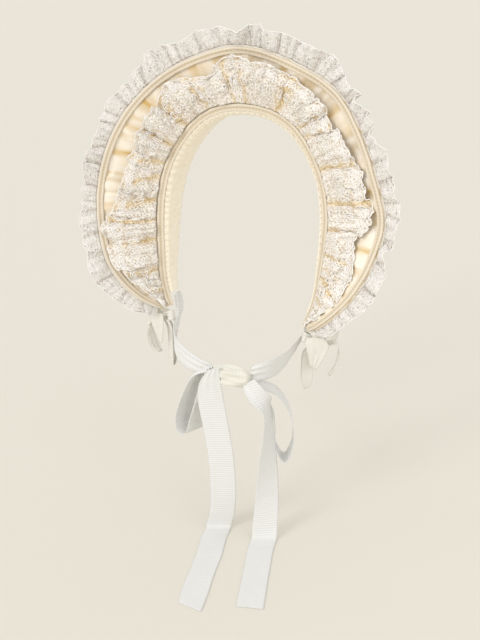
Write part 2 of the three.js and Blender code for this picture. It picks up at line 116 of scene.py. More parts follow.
# The corner bow of the wearer's left side. The other is its mirror image with the outer side lower.
BOW_KNOT = dict(centre=(95, -42, -238), wide=6, deep=5, high=7)
BOW_INNER_LOOP = [
    (90, -46, -238, 8, 20, 72), (85.5, -49, -236.5, 11, 20, 76), (82, -47.5, -236, 12, 20, 78),
    (81, -44, -236.5, 12, 20, 78), (82.5, -41, -237, 11, 20, 78), (89.5, -40.5, -238.5, 8, 20, 72),
]
BOW_OUTER_LOOP = [
    (100.5, -44, -236, 8, 20, 74), (108, -45, -231.5, 13, 20, 78), (115, -42, -229, 15, 20, 80),
    (120, -38, -228.5, 15, 20, 80), (115, -34, -229.5, 14, 20, 80), (100.5, -37.5, -236.5, 8, 20, 74),
]
BOW_HANGING_LOOP = [
    (92, -43.5, -246.4, 8, 40, 0), (87.5, -44, -256, 12, 40, 0), (86.5, -43.5, -275, 13, 40, 0),
    (86, -43, -291, 12, 40, 0), (84.8, -41, -299.5, 5, 40, 0), (83.6, -38.6, -291, 12, 40, 0),
    (83.6, -38.5, -272, 13, 40, 0), (84.8, -38.5, -256, 12, 40, 0), (90, -38, -246.4, 8, 40, 0),
]
BOW_FRONT_TAIL = [
    (98, -50.5, -234, 18, 24, 0), (100.3, -50.5, -242, 26, 24, -8), (98.7, -50, -253, 20, 24, -16),
    (96.8, -49.5, -263, 14, 28, -28), (95.4, -49, -270.5, 9, 30, -38),
]
BOW_THIN_TAIL = [
    (101.4, -36, -243.6, 8, 100, 0), (108, -33, -244.5, 13, 106, 0), (114.5, -31, -243.5, 16, 112, 0),
    (118, -30, -250, 17, 116, 0), (115.5, -30, -268, 14, 114, 0), (107.5, -31, -283, 5, 110, 0),
]
OUTER_SIDE_FALL = 1.1


# Curves

def along_curve(points, t):
    """The point and the direction at t, 0 to 1, of a smooth curve through the points."""
    last = len(points) - 1
    place = min(max(t, 0.0), 1.0) * last
    i = min(int(place), last - 1)
    w = place - i
    here, after = points[i], points[i + 1]
    before = points[i - 1] if i > 0 else 2 * here - after
    beyond = points[i + 2] if i + 2 <= last else 2 * after - here
    leave, arrive = (after - before) / 2, (beyond - here) / 2
    point = (
        here * (2 * w**3 - 3 * w**2 + 1) + leave * (w**3 - 2 * w**2 + w)
        + after * (3 * w**2 - 2 * w**3) + arrive * (w**3 - w**2)
    )
    way = (
        (after - here) * (6 * w - 6 * w**2)
        + leave * (3 * w**2 - 4 * w + 1) + arrive * (3 * w**2 - 2 * w)
    )
    return point, way


def even_steps(point_at, steps=1200):
    """How long the line point_at(0..1) is, and a function from a share of that length to t."""
    lengths = [0.0]
    before = point_at(0)
    for k in range(1, steps + 1):
        here = point_at(k / steps)
        lengths.append(lengths[-1] + (here - before).length)
        before = here

    def t_at(share):
        goal = share * lengths[-1]
        k = min(max(bisect.bisect_left(lengths, goal), 1), steps)
        gap = lengths[k] - lengths[k - 1]
        return (k - 1 + (goal - lengths[k - 1]) / gap) / steps if gap else k / steps

    return lengths[-1], t_at


def both_sides(point_of):
    """Points from the wearer's right corner over the top to the left one."""
    return [point_of(row, -1) for row in BRIM_ROWS[:0:-1]] + [point_of(row, 1) for row in BRIM_ROWS]


def seam_y(z):
    return SEAM_LEAN * z - SEAM_SETBACK


SEAM = both_sides(lambda row, side: Vector((side * row[0], seam_y(row[1]), row[1])))
RIM = both_sides(lambda row, side: Vector((side * row[2], seam_y(row[3]) - row[4], row[3])))
FRILL_WIDTH = both_sides(lambda row, side: Vector((row[5], 0, 0)))
SEAM_LENGTH, seam_t = even_steps(lambda t: along_curve(SEAM, t)[0])
RIM_LENGTH, rim_t = even_steps(lambda t: along_curve(RIM, t)[0])


def brim_frame(t, s):
    """A point of the brim's middle, its way out, its way along, its front and how wide the brim is."""
    low, low_way = along_curve(SEAM, t)
    high, high_way = along_curve(RIM, t)
    reach = high - low
    out = reach.normalized()
    along = low_way.normalized().lerp(high_way.normalized(), s).normalized()
    front = along.cross(out).normalized()
    width = reach.length
    point = low + reach * s - front * (BRIM_CUP * width * math.sin(math.pi * s))
    return point, out, along, front, width


def ease(x, low, high):
    """0 below low, 1 above high and a smooth step between."""
    x = min(max((x - low) / (high - low), 0.0), 1.0)
    return x * x * (3 - 2 * x)


# Making pieces

def in_frame(point):
    return Vector((point.x, point.y, point.z + SEAM_RISE)) * MM


def settle(name, data, material, slot, nodes=()):
    """A piece of that mesh that rides on the bonnet and stands for those nodes."""
    piece = bpy.data.objects.new(name, data)
    bpy.context.scene.collection.objects.link(piece)
    data.materials.clear()
    data.materials.append(material)
    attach(piece, "root")
    if nodes:
        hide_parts(*nodes)
    return piece


def finish_piece(name, mesh, material, slot, nodes=()):
    """Turns a bmesh in millimetres into a finished piece that rides on the bonnet."""
    for vert in mesh.verts:
        vert.co = in_frame(vert.co)
    for face in mesh.faces:
        face.smooth = True
    data = bpy.data.meshes.new(name)
    mesh.to_mesh(data)
    mesh.free()
    return settle(name, data, material, slot, nodes)


def flat_grid(columns, rows, length, width):
    """A flat cloth of even cells from (0, 0) to (length, width)."""
    mesh = bmesh.new()
    bmesh.ops.create_grid(mesh, x_segments=columns, y_segments=rows, size=0.5)
    for vert in mesh.verts:
        vert.co = Vector(((vert.co.x + 0.5) * length, (vert.co.y + 0.5) * width, 0))
    return mesh


def keep_uv(mesh):
    """Keeps each point's place in the flat cloth as its UV."""
    layer = mesh.loops.layers.uv.new("cloth_mm")
    for face in mesh.faces:
        for loop in face.loops:
            loop[layer].uv = loop.vert.co.xy


def hang(mesh, length, width, place, painted_shade_of=None):
    """Carries a flat cloth to its place: place takes the shares of its length and width, and
    painted_shade_of, if given, says how much painted shade each point gets.
    """
    keep_uv(mesh)
    painted_shade = mesh.verts.layers.float.new("painted_shade")
    for vert in mesh.verts:
        x, v = vert.co.x / length, vert.co.y / width
        vert[painted_shade] = painted_shade_of(x, v) if painted_shade_of else 0.0
        vert.co = place(x, v)


def thicken(piece, thickness):
    wall = piece.modifiers.new("thickness", "SOLIDIFY")
    wall.thickness = thickness * MM
    wall.offset = 0


def refine(piece, levels=1):
    smooth = piece.modifiers.new("refine", "SUBSURF")
    smooth.levels = smooth.render_levels = levels


def tube(steps, sides, place, closed_ends=True):
    """A closed skin: place takes the share of the length and the share of the way round."""
    mesh = flat_grid(steps, sides, 1, 1)
    keep_uv(mesh)
    for vert in mesh.verts:
        vert.co = place(vert.co.x, vert.co.y)
    bmesh.ops.remove_doubles(mesh, verts=mesh.verts, dist=0.001)
    if closed_ends:
        bmesh.ops.holes_fill(mesh, edges=[edge for edge in mesh.edges if edge.is_boundary], sides=0)
    bmesh.ops.recalc_face_normals(mesh, faces=mesh.faces)
    return mesh


def threads(name, lines, radius, material, slot, waist=1.0):
    """Many fine round threads in one piece. Each line is a list of points; waist thins both its ends."""
    curve = bpy.data.curves.new(name, "CURVE")
    curve.dimensions = "3D"
    curve.bevel_depth = radius * MM
    curve.bevel_resolution = 1
    curve.use_fill_caps = True
    for line in lines:
        spline = curve.splines.new("POLY")
        spline.points.add(len(line) - 1)
        for point, place in zip(spline.points, line):
            point.co = (*in_frame(place), 1)
        spline.points[0].radius = spline.points[-1].radius = waist
    drawn = bpy.data.objects.new(name + "_drawn", curve)
    data = bpy.data.meshes.new_from_object(drawn)
    bpy.data.objects.remove(drawn)
    bpy.data.curves.remove(curve)
    data.name = name
    for face in data.polygons:
        face.use_smooth = True
    return settle(name, data, material, slot)


# Materials

def colour(hex_text):
    """An sRGB hex colour as the linear colour a shader takes."""
    parts = [int(hex_text[i:i + 2], 16) / 255 for i in (1, 3, 5)]
    return tuple(c / 12.92 if c <= 0.04045 else ((c + 0.055) / 1.055) ** 2.4 for c in parts) + (1,)


def add(tree, kind, result=0, **settings):
    """Adds a node and gives its result. A setting is one of its properties, or one of its sockets by
    its identifier, with _ for a space: a number, a hex colour or another node's result."""
    made = tree.nodes.new(kind)
    sockets = {socket.identifier.replace(" ", "_"): socket for socket in made.inputs}
    for name, value in settings.items():
        if name not in sockets:
            setattr(made, name, value)
        elif isinstance(value, bpy.types.NodeSocket):
            tree.links.new(value, sockets[name])
        else:
            sockets[name].default_value = colour(value) if isinstance(value, str) else value
    return made.outputs[result]


def new_material(name, **shader):
    material = bpy.data.materials.new(name)
    material.use_nodes = True
    tree = material.node_tree
    surface = tree.nodes["Principled BSDF"]
    for socket, value in shader.items():
        surface.inputs[socket.replace("_", " ")].default_value = value
    return material, tree, surface, add(tree, "ShaderNodeUVMap", uv_map="cloth_mm")


# A wave texture's period at scale 1. Over a spacing in millimetres, it gives the scale to use.
WAVE_PERIOD = math.pi / 10
# Which result of a mix node is the colour.
MIXED_COLOUR = 2


def shaded(tree, tone, low, high, low_colour, high_colour):
    """Shades from one colour, where the tone is at low, to another, where it is at high."""
    share = add(tree, "ShaderNodeMapRange", Value=tone, From_Min=low, From_Max=high)
    return add(
        tree, "ShaderNodeMix", MIXED_COLOUR, data_type="RGBA", Factor_Float=share, A_Color=low_colour,
        B_Color=high_colour,
    )


def dress(tree, surface, base, height, depth, strength):
    """Gives the surface its colour, and its relief that deep in millimetres."""
    relief = add(tree, "ShaderNodeBump", Height=height, Distance=depth * MM, Strength=strength)
    tree.links.new(base, surface.inputs["Base Color"])
    tree.links.new(relief, surface.inputs["Normal"])


def weighed(tree, first, second, share):
    """The first pattern with that share of the second on it."""
    part = add(tree, "ShaderNodeMath", operation="MULTIPLY", Value=second, Value_001=share)
    return add(tree, "ShaderNodeMath", operation="ADD", Value=first, Value_001=part)


def cotton_sateen():
    """Cotton sateen, woven with long floats: cream, a soft sheen, golden painted shade in folds and
    hollows.
    """
    material, tree, surface, uv = new_material(
        "cotton_sateen", Roughness=0.42, Sheen_Weight=0.25, Sheen_Roughness=0.4
    )
    painted_shade = add(tree, "ShaderNodeAttribute", "Fac", attribute_name="painted_shade")
    cloud = add(tree, "ShaderNodeTexNoise", Vector=uv, Scale=0.045, Detail=3.0)
    tone = shaded(tree, cloud, 0.35, 0.7, "#FDF5E7", "#FAEDD6")
    # Golden where painted_shade, raised at random by the cloud, is high: painted shade in the folds.
    base = shaded(tree, weighed(tree, painted_shade, cloud, 0.35), 0.32, 0.95, tone, "#DDBB74")
    # The real threads are about 0.2 mm apart. They are drawn at 0.9 mm so that the weave shows.
    warp, weft = (
        add(
            tree, "ShaderNodeTexWave", "Fac", Vector=uv, bands_direction=way, Scale=WAVE_PERIOD / spacing,
            Distortion=0.6, Detail=1.0,
        ) for way, spacing in (("X", 0.9), ("Y", 1.3))
    )
    dress(tree, surface, base, weighed(tree, warp, weft, 0.6), 0.05, 0.5)
    return material


# Millimetres between the worked eyes, which are painted dark as the shade inside them. The real
# ones lie closer and would not show.
EYE_SPACING = 4.4


def lace_cotton(name, lit, deep, valley_shade, valley_pit_shade, eye_shade, grain, relief):
    """Bleached cotton lace: matt white threads worked so close that fine pits lie between them, the pits
    darker with painted shade, and small worked eyes painted dark as the shade inside them. Where it dips
    between folds, it is darker, golden or grey, with painted shade."""
    material, tree, surface, uv = new_material(name, Roughness=0.85, Sheen_Weight=0.15)
    cells = add(tree, "ShaderNodeTexVoronoi", Vector=uv, Scale=1 / grain)
    pits = add(tree, "ShaderNodeMapRange", Value=cells, From_Min=0.2, From_Max=0.7)
    cloud = add(tree, "ShaderNodeTexNoise", Vector=uv, Scale=0.12, Detail=3.0)
    clouded = add(tree, "ShaderNodeMapRange", Value=cloud, From_Min=0.4, From_Max=0.75)
    painted_shade = add(tree, "ShaderNodeAttribute", "Fac", attribute_name="painted_shade")
    # lit is the threads' own white and deep is the painted shade in the pits; both turn to the valley
    # colours where painted_shade is high, which is painted shade between the folds.
    light = shaded(tree, painted_shade, 0.2, 1.0, lit, valley_shade)
    dark = shaded(tree, painted_shade, 0.2, 1.0, deep, valley_pit_shade)
    # worked is darker in the pits between the threads, which is painted shade, and darker at random with
    # the cloud.
    worked = shaded(tree, weighed(tree, pits, clouded, 0.4), 0.45, 1.3, light, dark)
    eyes = add(tree, "ShaderNodeTexVoronoi", Vector=uv, Scale=1 / EYE_SPACING, Randomness=0.6)
    # The eyes are dark dots of painted shade, standing in for the shadow inside eyelets too small to cut.
    base = shaded(tree, eyes, 0.24, 0.15, worked, eye_shade)
    thread = add(
        tree, "ShaderNodeTexWave", "Fac", Vector=uv, bands_direction="DIAGONAL", Scale=WAVE_PERIOD / 0.8,
        Distortion=2.5, Detail=2.0,
    )
    lift = add(tree, "ShaderNodeMath", operation="SUBTRACT", Value=1.0, Value_001=pits)
    dress(tree, surface, base, weighed(tree, lift, thread, 0.4), relief, 0.55)
    return material


def plain_cotton(name, light, dark, thread):
    """Plain woven cotton: matt, with a fine basket of threads and a slight cloudiness."""
    material, tree, surface, uv = new_material(name, Roughness=0.75, Sheen_Weight=0.2)
    cloud = add(tree, "ShaderNodeTexNoise", Vector=uv, Scale=0.15, Detail=4.0)
    warp, weft = (
        add(tree, "ShaderNodeTexWave", "Fac", Vector=uv, bands_direction=way, Scale=WAVE_PERIOD / thread)
        for way in ("X", "Y")
    )
    weave = add(tree, "ShaderNodeMath", operation="MULTIPLY", Value=warp, Value_001=weft)
    base = shaded(tree, weighed(tree, cloud, weave, -0.35), 0.2, 0.7, light, dark)
    dress(tree, surface, base, weave, 0.08, 0.6)
    return material


def corded_cotton():
    """Cotton bias strip sewn over two cords: pale on the cords, and darker in the groove and at the
    seams with painted shade.
    """
    material, tree, surface, uv = new_material("corded_cotton", Roughness=0.75, Sheen_Weight=0.2)
    cord, stitch = (
        add(tree, "ShaderNodeTexWave", "Fac", Vector=uv, bands_direction=way, Scale=WAVE_PERIOD / spacing)
        for way, spacing in (("Y", PIPING_GIRTH / 4), ("X", STITCH_SPACING))
    )
    cloud = add(tree, "ShaderNodeTexNoise", Vector=uv, Scale=0.12, Detail=3.0)
    tone = weighed(tree, weighed(tree, cord, stitch, 0.22), cloud, 0.3)
    # Darker where the cord pattern is low, in the groove and at the edges: painted shade. The stitch
    # ticks and the cloud add the strip's own marks and a random tone.
    base = shaded(tree, tone, 0.25, 1.0, "#CDBEA2", "#E4D8C5")
    dress(tree, surface, base, weighed(tree, cord, stitch, 0.4), 0.2, 0.6)
    return material


def grosgrain(name, rise, furrow_shade, relief):
    """Grosgrain ribbon, woven over a thick weft: close ribs across it and a flat selvedge, with painted
    shade in the furrows between the ribs. Drawn tight in a knot, the ribs flatten."""
    material, tree, surface, uv = new_material(name, Roughness=0.6, Sheen_Weight=0.2)
    rib, warp = (
        add(tree, "ShaderNodeTexWave", "Fac", Vector=uv, bands_direction=way, Scale=WAVE_PERIOD / spacing)
        for way, spacing in (("X", RIB_SPACING), ("Y", 0.8))
    )
    cloud = add(tree, "ShaderNodeTexNoise", Vector=uv, Scale=0.03, Detail=2.0)
    furrow_shading = add(tree, "ShaderNodeMapRange", Value=rib, From_Min=1.0, From_Max=0.2)
    # furrow_shade is painted shade in the furrows between the ribs, mixed with a random cloudy tone.
    base = shaded(tree, weighed(tree, furrow_shading, cloud, 0.6), 0.25, 1.3, rise, furrow_shade)
    dress(tree, surface, base, weighed(tree, rib, warp, 0.15), 0.12, relief)
    return material


def satin_ribbon():
    """Polyester satin ribbon: ivory with a broad soft gloss along its fine warp."""
    material, tree, surface, uv = new_material("satin_ribbon", Roughness=0.34, Sheen_Weight=0.1)
    cloud = add(tree, "ShaderNodeTexNoise", Vector=uv, Scale=0.06, Detail=2.0)
    warp = add(
        tree, "ShaderNodeTexWave", "Fac", Vector=uv, bands_direction="Y", Scale=WAVE_PERIOD / 0.6,
        Distortion=0.4,
    )
    dress(tree, surface, shaded(tree, cloud, 0.3, 0.7, "#E8E6DF", "#DFDCD2"), warp, 0.03, 0.5)
    return material


def spun_thread(name, light, dark):
    """Spun thread: matt, its fine twist gives a slight mottle."""
    material, tree, surface = new_material(name, Roughness=0.7, Sheen_Weight=0.2)[:3]
    place = add(tree, "ShaderNodeTexCoord", "Object")
    fibre = add(tree, "ShaderNodeTexNoise", Vector=place, Scale=1 / (1.1 * MM), Detail=2.0)
    dress(tree, surface, shaded(tree, fibre, 0.35, 0.7, light, dark), fibre, 0.15, 0.6)
    return material


# Brim

LINING_COLUMNS = 260
LINING_ROUNDS = 56
# How many puckers go round, how deep they are in millimetres, and their phase.
GATHERS = [(29, 1.2, 0.3), (41, 0.9, 1.7), (67, 0.5, 4.1), (11, 0.6, 2.6)]
PUCKER = 0.55
LINING_GIRTH = 134
LINING_RISE = 3.6
LINING_SLIDE = 3.0
CORNER_PLUMP = 2.1


def brim_section(a):
    """Seam to rim on the front for the first half of the way round, and back on the other side."""
    s = 2 * a if a <= 0.5 else 2 - 2 * a
    half = BRIM_HALF * math.sqrt(max(0.0, 1 - abs(2 * s - 1) ** 6))
    return s, half if a <= 0.5 else -half


def crease_at(t, s):
    """Near 1 along the sharp valleys between the lining's puffs, which fan out from seam to rim."""
    lines = 0.0
    for count, size, phase in GATHERS[:3]:
        near = 1 - abs(math.sin(math.pi * count * (t + 0.004 * math.sin(5 * s + count)) + phase))
        lines += size * near ** 3
    return lines * (0.5 + 0.5 * s)


def gather_at(t, s):
    """Radial puckers that start at the stitching of both edges."""
    depth = sum(
        size * (2 * abs(math.sin(math.pi * count * t + phase)) - 1) for count, size, phase in GATHERS
    )
    return depth * math.sin(math.pi * s) ** 0.5


def brim_place(t, a):
    s, offset = brim_section(a)
    point, out, along, front, width = brim_frame(t, s)
    pucker = PUCKER * gather_at(t, s) * min(1, width / WIDE_BRIM)
    return point + front * (offset + (pucker if a <= 0.5 else -0.4 * pucker))


def settle_cloth(piece, holds, grow, frames, pressure=0.0, stiff=12, bend=0.15):
    """Where cloth goes when it is longer than its place. holds says how firmly each point is kept."""
    group = piece.vertex_groups.new(name="sewn")
    for k, hold in enumerate(holds):
        group.add([k], hold, "REPLACE")
    cloth = piece.modifiers.new("settle", "CLOTH")
    rules = cloth.settings
    rules.quality = 5
    rules.mass = 0.2
    rules.vertex_group_mass = "sewn"
    rules.shrink_min = -grow
    rules.tension_stiffness = rules.compression_stiffness = stiff
    rules.shear_stiffness = stiff / 3
    rules.bending_stiffness = bend
    rules.use_pressure = pressure > 0
    rules.uniform_pressure_force = pressure
    rules.effector_weights.gravity = 0
    cloth.collision_settings.use_collision = False
    cloth.collision_settings.use_self_collision = False
    cloth.point_cache.frame_end = frames
    scene = bpy.context.scene
    for k in range(1, frames + 1):
        scene.frame_set(k)
    shaped = piece.evaluated_get(bpy.context.evaluated_depsgraph_get())
    result = [vert.co.copy() for vert in shaped.data.vertices]
    piece.modifiers.remove(cloth)
    piece.vertex_groups.remove(group)
    scene.frame_set(1)
    return result


def make_brim(material):
    """The padded crescent, one closed skin of gathered sateen."""
    mesh = tube(LINING_COLUMNS, LINING_ROUNDS, brim_place)
    piece = finish_piece("padded_brim", mesh, material, "lining", ["brim"])
    scale_uv(piece, RIM_LENGTH, LINING_GIRTH)
    moved = [vert.co.copy() for vert in piece.data.vertices]
    layer = piece.data.uv_layers["cloth_mm"].data
    where = {}
    for loop in piece.data.loops:
        where[loop.vertex_index] = layer[loop.index].uv
    spots = [(where[k][0] / RIM_LENGTH, where[k][1] / LINING_GIRTH) for k in range(len(moved))]
    sections = [brim_section(a) for t, a in spots]
    # Only the cloth between the stitched edges moves.
    holds = [
        0.0 if 0.04 < s < 0.96 and 0.004 < spots[k][0] < 0.996 else 1.0
        for k, (s, offset) in enumerate(sections)
    ]
    moved = settle_cloth(piece, holds, grow=0.12, frames=22, pressure=2.0)
    # painted_shade is painted shade: golden along the creases between the puffs and where the lining lies
    # low in its hollows, fainter on the back.
    painted_shade = piece.data.attributes.new("painted_shade", "FLOAT", "POINT").data
    for k, (t, a) in enumerate(spots):
        s, offset = sections[k]
        point, out, along, front, width = brim_frame(t, s)
        rest = in_frame(point)
        rise = (moved[k] - rest).dot(front) / MM
        slide = moved[k] - rest - front * rise * MM
        if slide.length > LINING_SLIDE * MM:
            slide *= LINING_SLIDE * MM / slide.length
        limit = LINING_RISE + 2.0 * ease(s, 0.45, 0.8)
        side = 1 if a <= 0.5 else -1
        inset = min(s, 1 - s) * width
        plump = CORNER_PLUMP * ease(inset, 6.5, 10) * ease(abs(2 * t - 1), 0.5, 0.75)
        held = (PIPING_UNDERSIDE + plump) * ease(inset, 1, 6) if side > 0 else 0.0
        rise = side * min(max(side * rise, 0.2 * abs(offset), held), limit)
        piece.data.vertices[k].co = rest + slide + front * rise * MM
        low = (1 - min(max(side * rise / limit, 0.0), 1.0)) * ease(inset, 2, 9)
        painted_shade[k].value = (0.45 if side > 0 else 0.15) * crease_at(t, s) + 0.3 * low
    refine(piece)
    return piece


def scale_uv(piece, length, width):
    for item in piece.data.uv_layers["cloth_mm"].data:
        item.uv = (item.uv[0] * length, item.uv[1] * width)


# Crown band

BAND_COLUMNS = 720
BAND_ROWS = 20
BAND_BULGE = 4.5
BAND_WIDTH = 36
BAND_CORNER_DEPTH = 14
BAND_TOP_DEPTH = 46
BAND_FULLNESS = 1.25
BAND_THICKNESS = 1.0
BAND_GATHERS = 76
BAND_GATHER_DEPTH = 1.4


def band_profile(v):
    """The share of the depth as x and the distance in from the seam's line as y."""
    knots = [(-0.06, 0.4), (0.0, 2.4), (0.12, BAND_BULGE), (0.6, BAND_BULGE), (1, BAND_BULGE / 2)]
    return along_curve([Vector((*knot, 0)) for knot in knots], v)[0]


def band_place(u, v):
    """From the seam back, gathered at the seam and drawn in a little at its back hem."""
    t = 0.035 + 0.93 * u
    depth = BAND_CORNER_DEPTH + (BAND_TOP_DEPTH - BAND_CORNER_DEPTH) * math.sin(math.pi * t)
    start, way = along_curve(SEAM, t)
    inward = -(way.cross(Vector((0, 1, 0))).normalized())
    profile = band_profile(v)
    gather = BAND_GATHER_DEPTH * math.cos(TURN * BAND_GATHERS * u + 1.5 * math.sin(TURN * 9 * u))
    pull = (1 - ease(v, 0.0, 0.55)) + 0.5 * ease(v, 0.75, 1.0)
    return start + Vector((0, profile.x * depth - 1, 0)) + inward * (profile.y + gather * pull)


def make_band(material):
    length = SEAM_LENGTH * BAND_FULLNESS
    mesh = flat_grid(BAND_COLUMNS, BAND_ROWS, length, BAND_WIDTH)
    hang(mesh, length, BAND_WIDTH, band_place)
    piece = finish_piece("crown_band_cloth", mesh, material, "band", ["crown_band"])
    thicken(piece, BAND_THICKNESS)
    return piece


# Pipings

PIPING_STEPS = 420
PIPING_SIDES = 28
PIPING_GIRTH = 18
CORD_SHARE = 0.56
CORD_RISE = 0.4
STITCH_SPACING = 3.4
STITCH_RISE = 0.18
STITCH_REACH = 1.1
STITCH_DIP = 0.2


def cord_section(a):
    """Two round cords under one cover, flat underneath; a runs round from the outer edge. Both results
    are shares of the piping's half width."""
    angle = TURN * a
    x = math.cos(angle)
    if angle > math.pi:
        return x, -0.25 * abs(math.sin(angle)) ** 0.5
    from_cord = abs(abs(x) - 0.5)
    swell = math.sqrt(max(0.0, 1 - (from_cord / CORD_SHARE) ** 2))
    return x, CORD_RISE * swell * min(1, 3 * abs(math.sin(angle)))


def piping_width(brim_width):
    return min(PIPING_WIDTH, PIPING_SHARE * brim_width)


def piping_frame(u, at_rim, margin):
    width = brim_frame(u, 0)[4]
    half = piping_width(width) / 2
    inset = (half + margin) / width
    point, out, along, front, width = brim_frame(u, 1 - inset if at_rim else inset)
    return point + front * (PIPING_UNDERSIDE + 0.25 * half), out, along, front, half


def piping_place(at_rim, margin):
    def place(u, a):
        point, out, along, front, half = piping_frame(u, at_rim, margin)
        x, z = cord_section(a)
        pull = 1 + 0.05 * math.cos(TURN * 150 * u) + 0.04 * math.sin(TURN * 37 * u)
        return point + out * (x * pull * half) + front * (z * half)
    return place


def make_pipings(material, thread_material):
    for node, at_rim, margin, length in (
        ("outer_piping", True, RIM_PIPING_MARGIN, RIM_LENGTH),
        ("inner_piping", False, SEAM_PIPING_MARGIN, SEAM_LENGTH),
    ):
        mesh = tube(PIPING_STEPS, PIPING_SIDES, piping_place(at_rim, margin))
        piece = finish_piece(node + "_cords", mesh, material, "piping", [node])
        scale_uv(piece, length, PIPING_GIRTH)
        make_stitches(node + "_cords_stitches", at_rim, margin, length, thread_material)


def make_stitches(name, at_rim, margin, length, material):
    """Short stitches in the groove between the cords."""
    lines = []
    count = round(length / STITCH_SPACING)
    for k in range(count):
        point, out, along, front, half = piping_frame((k + 0.5) / count, at_rim, margin)
        middle = point + front * STITCH_RISE * half
        end = along * STITCH_REACH
        dip = front * STITCH_DIP
        lines.append([middle - end - dip, middle, middle + end - dip])
    threads(name, lines, radius=0.3, material=material, slot="piping", waist=0.5)


# Lace

LACE_CELL = 2.4
LACE_THICKNESS = 0.5
# The ring of thread round an eyelet, as shares of its radius and in millimetres above the lace.
RIM_REACH = 1.2
RIM_LIFT = 0.3


def pierce(mesh, spots, radius):
    """Round eyelets at the cloth's inner corners: each is cut back to a round face and taken out."""
    made = bmesh.ops.bevel(
        mesh, geom=spots, offset=radius, segments=2, profile=0.5, affect="VERTICES", material=-1
    )
    rounds = made["faces"]
    for face in rounds:
        centre = face.calc_center_median()
        for vert in face.verts:
            vert.co = centre + (vert.co - centre).normalized() * radius
    bmesh.ops.delete(mesh, geom=rounds, context="FACES")


def scallop(x, pitch):
    """How far the edge stands out at x: rounded lobes with sharp dips between."""
    return math.sqrt(max(0.0, 1 - (2 * (x / pitch % 1) - 1) ** 2))


def edge_pull(x, y, width, pitch, depth):
    """How far a point of the flat lace is drawn in by the scallops of its edge."""
    return depth * (1 - scallop(x, pitch)) * ease(y, width * 0.6, width)


class Lace:
    """A length of lace: its width, its scallops and eyelets, and where its folds carry it."""

    def __init__(self, length, width, pitch, depth, hole, holes_at, place, painted_shade_of):
        self.length, self.width, self.place, self.painted_shade_of = length, width, place, painted_shade_of
        self.pitch, self.depth, self.hole, self.holes_at = pitch, depth, hole, holes_at
        self.columns, self.rows = round(length / LACE_CELL), round(width / LACE_CELL)

    def make(self, name, material, slot, node):
        """A grid of cells with its eyelets and its scalloped edge, carried to its folds."""
        mesh = flat_grid(self.columns, self.rows, self.length, self.width)
        spots = []
        for vert in mesh.verts:
            i = round(vert.co.x / self.length * self.columns)
            j = round(vert.co.y / self.width * self.rows)
            if 0 < i < self.columns and 0 < j < self.rows and self.holes_at(i, j, self.rows):
                spots.append(vert)
        pierce(mesh, spots, self.hole)
        for vert in mesh.verts:
            vert.co.y -= edge_pull(vert.co.x, vert.co.y, self.width, self.pitch, self.depth)
        hang(mesh, self.length, self.width, self.place, self.painted_shade_of)
        piece = finish_piece(name, mesh, material, slot, [node])
        thicken(piece, LACE_THICKNESS)
        return piece

    def rims(self):
        """A ring of thread round each eyelet past the gathers."""
        rings = []
        for i in range(1, self.columns):
            for j in range(3, self.rows):
                if not self.holes_at(i, j, self.rows):
                    continue
                ring = []
                for n in range(9):
                    angle = TURN * n / 8
                    x = i * self.length / self.columns + RIM_REACH * self.hole * math.cos(angle)
                    y = j * self.width / self.rows + RIM_REACH * self.hole * math.sin(angle)
                    y -= edge_pull(x, y, self.width, self.pitch, self.depth)
                    ring.append(self.place(x / self.length, min(y / self.width, 1), RIM_LIFT))
                rings.append(ring)
        return rings

    def edge(self, rise, spacing):
        """The free edge, with tiny loops of thread on it, drawn in four steps each."""
        line = []
        count = round(self.length / (spacing / 4))
        for k in range(count + 1):
            x = self.length * k / count
            y = self.width - self.depth * (1 - scallop(x, self.pitch))
            y += rise * abs(math.sin(math.pi * x / spacing))
            line.append(self.place(x / self.length, y / self.width))
        return line


def uneven_folds(count, seed, depth, lean, short=0.0):
    """Folds of a gathered frill, one after another: where each starts, how high its crest stands, how
    far it leans, how much of the valley at its start is filled and how far it reaches out."""
    draw = random.Random(seed)
    gaps = [draw.uniform(0.4, 1.7) for k in range(count)]
    folds = []
    start = 0.0
    for k, gap in enumerate(gaps):
        crest = depth * draw.uniform(0.6, 1.15) * min(1.2, gap + 0.2)
        tilt = lean * (0.8 * math.sin(0.9 * k + 0.7) + draw.uniform(-0.35, 0.35))
        folds.append((start, crest, tilt, draw.uniform(0, 0.25), 1 - short * draw.uniform(0, 1)))
        start += gap / sum(gaps)
    folds.append((1.0, depth, 0.0, 0.2, 1.0))
    return folds


def fold_at(folds, u):
    """How high the frill stands at u, how far it leans, how near it is to a valley and its reach."""
    k = min(max(bisect.bisect_right(folds, (u, math.inf)) - 1, 0), len(folds) - 2)
    start, crest, tilt, filled, reach = folds[k]
    end, beyond, _, next_filled, _ = folds[k + 1]
    q = min(max((u - start) / (end - start), 0.0), 1.0)
    arch = math.sin(math.pi * q) ** 0.62
    floor = filled * crest * (1 - q) + next_filled * beyond * q
    height = floor + (crest - floor) * arch
    return height, tilt * crest * arch, 1 - arch, 1 - (1 - reach) * arch


def cubic_weights(w):
    """How much each of four points in a row counts, w of the way from the second to the third."""
    return (
        -w**3 / 2 + w**2 - w / 2, 3 * w**3 / 2 - 5 * w**2 / 2 + 1,
        -3 * w**3 / 2 + 2 * w**2 + w / 2, w**3 / 2 - w**2 / 2,
    )


def cell_of(share, count):
    """Which of count cells the share falls in, and how far across it."""
    place = min(max(share, 0.0), 1.0) * count
    k = min(int(place), count - 1)
    return k, place - k


